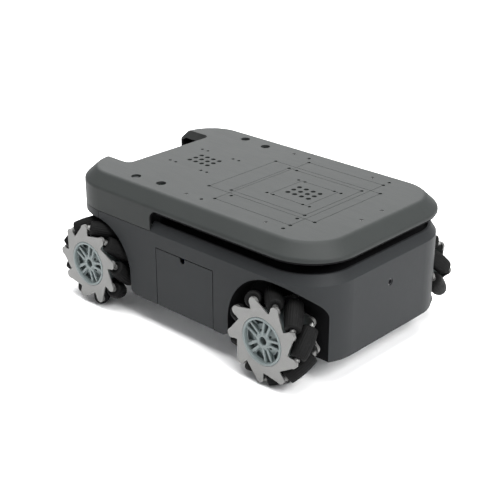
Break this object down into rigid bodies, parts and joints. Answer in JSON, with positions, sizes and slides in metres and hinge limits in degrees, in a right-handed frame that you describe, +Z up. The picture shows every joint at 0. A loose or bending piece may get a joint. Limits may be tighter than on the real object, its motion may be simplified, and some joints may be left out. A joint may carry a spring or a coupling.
{
  "type": "four wheel robot chassis",
  "caption": "Low rectangular mobile robot base with rounded corners, a flat drilled top, a sensor slot round the front, and mecanum wheels with free rollers.",
  "frame": {"origin": "on the floor under the middle of the bounding box", "axes": "+X forwards to the camera end, +Y to the robot's left, +Z up"},
  "size_m": [0.3152, 0.223, 0.13],
  "materials": {
    "cover_plastic": "satin",
    "shell_plastic": "satin",
    "base_metal": "brushed",
    "plate_metal": "bead blasted",
    "hub_plastic": "satin",
    "roller_rubber": "matt",
    "motor_steel": "brushed",
    "bracket_metal": "matt",
    "battery_wrap": "gloss",
    "board_green": "satin",
    "board_blue": "satin",
    "black_plastic": "gloss",
    "rocker_red": "gloss",
    "fastener_steel": "black oxide"
  },
  "bodies": {
    "chassis": {"top_cover": "cover_plastic", "lower_shell": "shell_plastic", "rear_panel": "shell_plastic", "base_plate": "base_metal", "gear_motors": "motor_steel", "motor_brackets": "bracket_metal", "battery_pack": "battery_wrap", "main_board": "board_green", "driver_board": "board_blue", "lidar_base": "black_plastic", "camera_module": "black_plastic", "switch_body": "black_plastic", "fasteners": "fastener_steel"},
    "battery_door": {"battery_door": "shell_plastic"},
    "lidar_head": {"lidar_head": "black_plastic"},
    "switch_rocker": {"switch_rocker": "rocker_red"},
    "wheel_fr": {"wheel_frame_fr": "plate_metal", "wheel_hub_fr": "hub_plastic"},
    "roller_fr_1": {"roller_fr_1": "roller_rubber"},
    "roller_fr_2": {"roller_fr_2": "roller_rubber"},
    "roller_fr_3": {"roller_fr_3": "roller_rubber"},
    "roller_fr_4": {"roller_fr_4": "roller_rubber"},
    "roller_fr_5": {"roller_fr_5": "roller_rubber"},
    "roller_fr_6": {"roller_fr_6": "roller_rubber"},
    "roller_fr_7": {"roller_fr_7": "roller_rubber"},
    "roller_fr_8": {"roller_fr_8": "roller_rubber"},
    "roller_fr_9": {"roller_fr_9": "roller_rubber"},
    "wheel_fl": {"wheel_frame_fl": "plate_metal", "wheel_hub_fl": "hub_plastic"},
    "roller_fl_1": {"roller_fl_1": "roller_rubber"},
    "roller_fl_2": {"roller_fl_2": "roller_rubber"},
    "roller_fl_3": {"roller_fl_3": "roller_rubber"},
    "roller_fl_4": {"roller_fl_4": "roller_rubber"},
    "roller_fl_5": {"roller_fl_5": "roller_rubber"},
    "roller_fl_6": {"roller_fl_6": "roller_rubber"},
    "roller_fl_7": {"roller_fl_7": "roller_rubber"},
    "roller_fl_8": {"roller_fl_8": "roller_rubber"},
    "roller_fl_9": {"roller_fl_9": "roller_rubber"},
    "wheel_rr": {"wheel_frame_rr": "plate_metal", "wheel_hub_rr": "hub_plastic"},
    "roller_rr_1": {"roller_rr_1": "roller_rubber"},
    "roller_rr_2": {"roller_rr_2": "roller_rubber"},
    "roller_rr_3": {"roller_rr_3": "roller_rubber"},
    "roller_rr_4": {"roller_rr_4": "roller_rubber"},
    "roller_rr_5": {"roller_rr_5": "roller_rubber"},
    "roller_rr_6": {"roller_rr_6": "roller_rubber"},
    "roller_rr_7": {"roller_rr_7": "roller_rubber"},
    "roller_rr_8": {"roller_rr_8": "roller_rubber"},
    "roller_rr_9": {"roller_rr_9": "roller_rubber"},
    "wheel_rl": {"wheel_frame_rl": "plate_metal", "wheel_hub_rl": "hub_plastic"},
    "roller_rl_1": {"roller_rl_1": "roller_rubber"},
    "roller_rl_2": {"roller_rl_2": "roller_rubber"},
    "roller_rl_3": {"roller_rl_3": "roller_rubber"},
    "roller_rl_4": {"roller_rl_4": "roller_rubber"},
    "roller_rl_5": {"roller_rl_5": "roller_rubber"},
    "roller_rl_6": {"roller_rl_6": "roller_rubber"},
    "roller_rl_7": {"roller_rl_7": "roller_rubber"},
    "roller_rl_8": {"roller_rl_8": "roller_rubber"},
    "roller_rl_9": {"roller_rl_9": "roller_rubber"}
  },
  "joints": [
    {"name": "battery_door_hinge", "type": "hinge", "parent": "chassis", "child": "battery_door", "pos_m": [0, -0.0945, 0.0285], "axis": [1, 0, 0], "range_deg": [0, 90]},
    {"name": "lidar_spin", "type": "hinge", "parent": "chassis", "child": "lidar_head", "pos_m": [0.062, 0, 0.11], "axis": [0, 0, 1], "continuous": true},
    {"name": "power_rocker", "type": "hinge", "parent": "chassis", "child": "switch_rocker", "pos_m": [-0.138, -0.036, 0.0954], "axis": [0, 1, 0], "range_deg": [0, 18]},
    {"name": "wheel_fr_drive", "type": "hinge", "parent": "chassis", "child": "wheel_fr", "pos_m": [0.10942, -0.096, 0.0425], "axis": [0, 1, 0], "continuous": true},
    {"name": "roller_fr_1_spin", "type": "hinge", "parent": "wheel_fr", "child": "roller_fr_1", "pos_m": [0.14325, -0.096, 0.04816], "axis": [0.1167, -0.7071, -0.6974], "continuous": true},
    {"name": "roller_fr_2_spin", "type": "hinge", "parent": "wheel_fr", "child": "roller_fr_2", "pos_m": [0.1317, -0.096, 0.06858], "axis": [0.5377, -0.7071, -0.4592], "continuous": true},
    {"name": "roller_fr_3_spin", "type": "hinge", "parent": "wheel_fr", "child": "roller_fr_3", "pos_m": [0.10972, -0.096, 0.0768], "axis": [0.7071, -0.7071, -0.0062], "continuous": true},
    {"name": "roller_fr_4_spin", "type": "hinge", "parent": "wheel_fr", "child": "roller_fr_4", "pos_m": [0.0876, -0.096, 0.06897], "axis": [0.5456, -0.7071, 0.4498], "continuous": true},
    {"name": "roller_fr_5_spin", "type": "hinge", "parent": "wheel_fr", "child": "roller_fr_5", "pos_m": [0.07569, -0.096, 0.04875], "axis": [0.1289, -0.7071, 0.6953], "continuous": true},
    {"name": "roller_fr_6_spin", "type": "hinge", "parent": "wheel_fr", "child": "roller_fr_6", "pos_m": [0.07957, -0.096, 0.02561], "axis": [-0.3482, -0.7071, 0.6154], "continuous": true},
    {"name": "roller_fr_7_spin", "type": "hinge", "parent": "wheel_fr", "child": "roller_fr_7", "pos_m": [0.09741, -0.096, 0.01037], "axis": [-0.6623, -0.7071, 0.2476], "continuous": true},
    {"name": "roller_fr_8_spin", "type": "hinge", "parent": "wheel_fr", "child": "roller_fr_8", "pos_m": [0.12087, -0.096, 0.01017], "axis": [-0.6665, -0.7071, -0.236], "continuous": true},
    {"name": "roller_fr_9_spin", "type": "hinge", "parent": "wheel_fr", "child": "roller_fr_9", "pos_m": [0.13897, -0.096, 0.02509], "axis": [-0.3589, -0.7071, -0.6093], "continuous": true},
    {"name": "wheel_fl_drive", "type": "hinge", "parent": "chassis", "child": "wheel_fl", "pos_m": [0.10942, 0.096, 0.0425], "axis": [0, 1, 0], "continuous": true},
    {"name": "roller_fl_1_spin", "type": "hinge", "parent": "wheel_fl", "child": "roller_fl_1", "pos_m": [0.14038, 0.096, 0.05727], "axis": [0.3044, 0.7071, -0.6382], "continuous": true},
    {"name": "roller_fl_2_spin", "type": "hinge", "parent": "wheel_fl", "child": "roller_fl_2", "pos_m": [0.12364, 0.096, 0.07371], "axis": [0.6434, 0.7071, -0.2932], "continuous": true},
    {"name": "roller_fl_3_spin", "type": "hinge", "parent": "wheel_fl", "child": "roller_fl_3", "pos_m": [0.10025, 0.096, 0.07555], "axis": [0.6814, 0.7071, 0.189], "continuous": true},
    {"name": "roller_fl_4_spin", "type": "hinge", "parent": "wheel_fl", "child": "roller_fl_4", "pos_m": [0.08115, 0.096, 0.06193], "axis": [0.4005, 0.7071, 0.5827], "continuous": true},
    {"name": "roller_fl_5_spin", "type": "hinge", "parent": "wheel_fl", "child": "roller_fl_5", "pos_m": [0.07528, 0.096, 0.03921], "axis": [-0.0678, 0.7071, 0.7039], "continuous": true},
    {"name": "roller_fl_6_spin", "type": "hinge", "parent": "wheel_fl", "child": "roller_fl_6", "pos_m": [0.08538, 0.096, 0.01804], "axis": [-0.5043, 0.7071, 0.4956], "continuous": true},
    {"name": "roller_fl_7_spin", "type": "hinge", "parent": "wheel_fl", "child": "roller_fl_7", "pos_m": [0.10673, 0.096, 0.00831], "axis": [-0.7049, 0.7071, 0.0555], "continuous": true},
    {"name": "roller_fl_8_spin", "type": "hinge", "parent": "wheel_fl", "child": "roller_fl_8", "pos_m": [0.12934, 0.096, 0.01458], "axis": [-0.5757, 0.7071, -0.4106], "continuous": true},
    {"name": "roller_fl_9_spin", "type": "hinge", "parent": "wheel_fl", "child": "roller_fl_9", "pos_m": [0.14263, 0.096, 0.03391], "axis": [-0.177, 0.7071, -0.6846], "continuous": true},
    {"name": "wheel_rr_drive", "type": "hinge", "parent": "chassis", "child": "wheel_rr", "pos_m": [-0.11512, -0.096, 0.0425], "axis": [0, 1, 0], "continuous": true},
    {"name": "roller_rr_1_spin", "type": "hinge", "parent": "wheel_rr", "child": "roller_rr_1", "pos_m": [-0.14554, -0.096, 0.05834], "axis": [-0.3265, -0.7071, -0.6272], "continuous": true},
    {"name": "roller_rr_2_spin", "type": "hinge", "parent": "wheel_rr", "child": "roller_rr_2", "pos_m": [-0.12825, -0.096, 0.07419], "axis": [-0.6533, -0.7071, -0.2706], "continuous": true},
    {"name": "roller_rr_3_spin", "type": "hinge", "parent": "wheel_rr", "child": "roller_rr_3", "pos_m": [-0.10481, -0.096, 0.07521], "axis": [-0.6744, -0.7071, 0.2126], "continuous": true},
    {"name": "roller_rr_4_spin", "type": "hinge", "parent": "wheel_rr", "child": "roller_rr_4", "pos_m": [-0.08619, -0.096, 0.06093], "axis": [-0.3799, -0.7071, 0.5964], "continuous": true},
    {"name": "roller_rr_5_spin", "type": "hinge", "parent": "wheel_rr", "child": "roller_rr_5", "pos_m": [-0.08111, -0.096, 0.03802], "axis": [0.0923, -0.7071, 0.7011], "continuous": true},
    {"name": "roller_rr_6_spin", "type": "hinge", "parent": "wheel_rr", "child": "roller_rr_6", "pos_m": [-0.09195, -0.096, 0.01721], "axis": [0.5213, -0.7071, 0.4777], "continuous": true},
    {"name": "roller_rr_7_spin", "type": "hinge", "parent": "wheel_rr", "child": "roller_rr_7", "pos_m": [-0.11362, -0.096, 0.00823], "axis": [0.7064, -0.7071, 0.0308], "continuous": true},
    {"name": "roller_rr_8_spin", "type": "hinge", "parent": "wheel_rr", "child": "roller_rr_8", "pos_m": [-0.136, -0.096, 0.01529], "axis": [0.561, -0.7071, -0.4305], "continuous": true},
    {"name": "roller_rr_9_spin", "type": "hinge", "parent": "wheel_rr", "child": "roller_rr_9", "pos_m": [-0.14861, -0.096, 0.03508], "axis": [0.153, -0.7071, -0.6903], "continuous": true},
    {"name": "wheel_rl_drive", "type": "hinge", "parent": "chassis", "child": "wheel_rl", "pos_m": [-0.11512, 0.096, 0.0425], "axis": [0, 1, 0], "continuous": true},
    {"name": "roller_rl_1_spin", "type": "hinge", "parent": "wheel_rl", "child": "roller_rl_1", "pos_m": [-0.1489, 0.096, 0.04846], "axis": [-0.1228, 0.7071, -0.6964], "continuous": true},
    {"name": "roller_rl_2_spin", "type": "hinge", "parent": "wheel_rl", "child": "roller_rl_2", "pos_m": [-0.13717, 0.096, 0.06878], "axis": [-0.5417, 0.7071, -0.4545], "continuous": true},
    {"name": "roller_rl_3_spin", "type": "hinge", "parent": "wheel_rl", "child": "roller_rl_3", "pos_m": [-0.11512, 0.096, 0.0768], "axis": [-0.7071, 0.7071, 0], "continuous": true},
    {"name": "roller_rl_4_spin", "type": "hinge", "parent": "wheel_rl", "child": "roller_rl_4", "pos_m": [-0.09307, 0.096, 0.06878], "axis": [-0.5417, 0.7071, 0.4545], "continuous": true},
    {"name": "roller_rl_5_spin", "type": "hinge", "parent": "wheel_rl", "child": "roller_rl_5", "pos_m": [-0.08134, 0.096, 0.04846], "axis": [-0.1228, 0.7071, 0.6964], "continuous": true},
    {"name": "roller_rl_6_spin", "type": "hinge", "parent": "wheel_rl", "child": "roller_rl_6", "pos_m": [-0.08542, 0.096, 0.02535], "axis": [0.3536, 0.7071, 0.6124], "continuous": true},
    {"name": "roller_rl_7_spin", "type": "hinge", "parent": "wheel_rl", "child": "roller_rl_7", "pos_m": [-0.10339, 0.096, 0.01027], "axis": [0.6645, 0.7071, 0.2418], "continuous": true},
    {"name": "roller_rl_8_spin", "type": "hinge", "parent": "wheel_rl", "child": "roller_rl_8", "pos_m": [-0.12685, 0.096, 0.01027], "axis": [0.6645, 0.7071, -0.2418], "continuous": true},
    {"name": "roller_rl_9_spin", "type": "hinge", "parent": "wheel_rl", "child": "roller_rl_9", "pos_m": [-0.14482, 0.096, 0.02535], "axis": [0.3536, 0.7071, -0.6124], "continuous": true}
  ]
}
